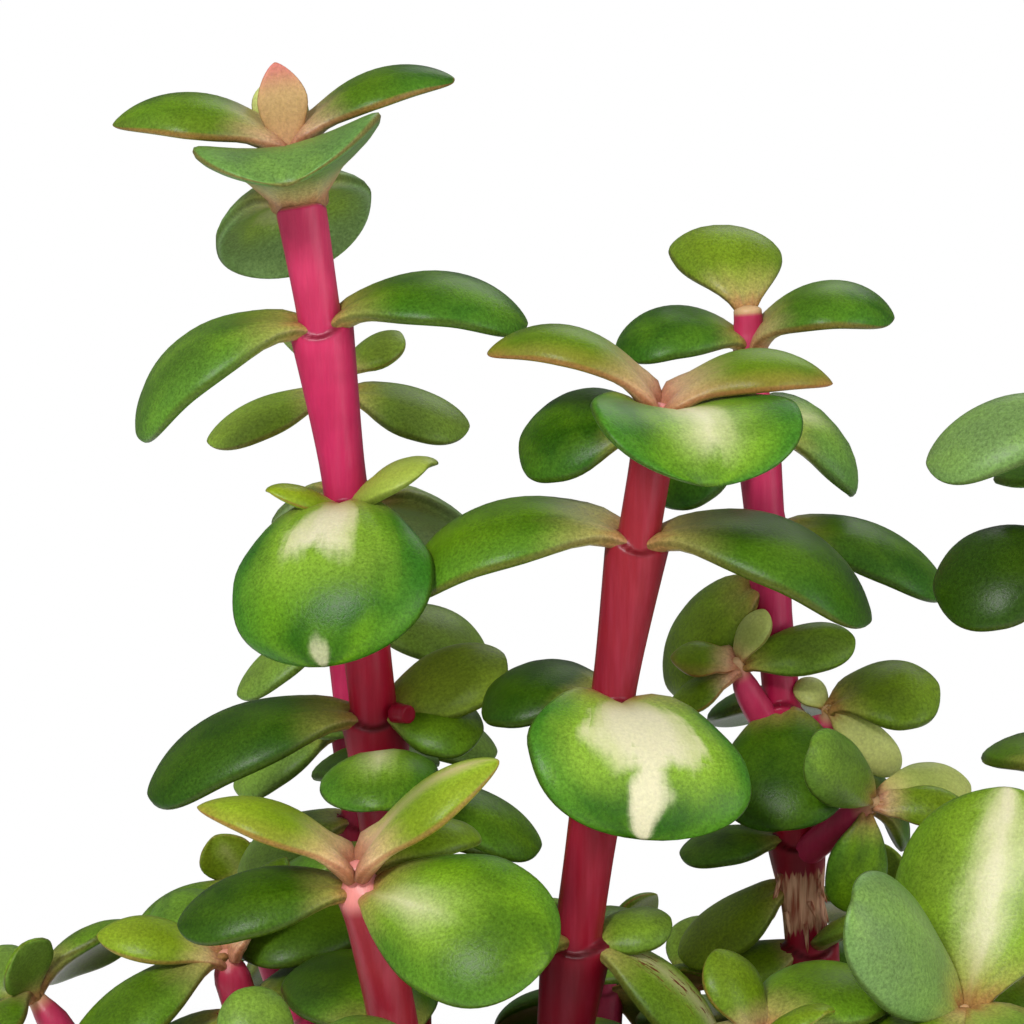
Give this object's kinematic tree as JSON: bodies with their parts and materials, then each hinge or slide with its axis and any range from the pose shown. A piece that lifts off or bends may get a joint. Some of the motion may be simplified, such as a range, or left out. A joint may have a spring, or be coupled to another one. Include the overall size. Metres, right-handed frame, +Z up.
{
  "type": "elephant bush in a clay pot",
  "caption": "Potted variegated elephant bush: red stems with facing pairs of thick rounded leaves, cream-striped green, in a plain clay pot filled with gritty soil.",
  "frame": {"origin": "centre of the pot's foot, on the surface that the pot stands on", "axes": "+Z up along the pot's axis; -Y is the side that the bush is seen from, +X to its right"},
  "size_m": [0.1169, 0.1048, 0.1832],
  "materials": {
    "clay": "matte",
    "soil": "matte",
    "leaf": "satin",
    "stem": "gloss"
  },
  "bodies": {
    "root": {"pot": "clay", "soil": "soil", "shoot_tall_left": "leaf", "shoot_middle": "leaf", "shoot_right": "leaf", "shoot_front": "leaf", "shoot_edge": "leaf", "shoot_edge_low": "leaf", "shoot_left_low": "leaf", "shoot_back_left": "leaf", "shoot_low_front": "leaf", "shoot_low_front_left": "leaf", "shoot_low_right": "leaf", "shoot_low_back_right": "leaf", "shoot_low_back": "leaf", "shoot_low_back_left": "leaf", "shoot_low_left": "leaf", "shoot_low_inner": "leaf"}
  },
  "joints": []
}
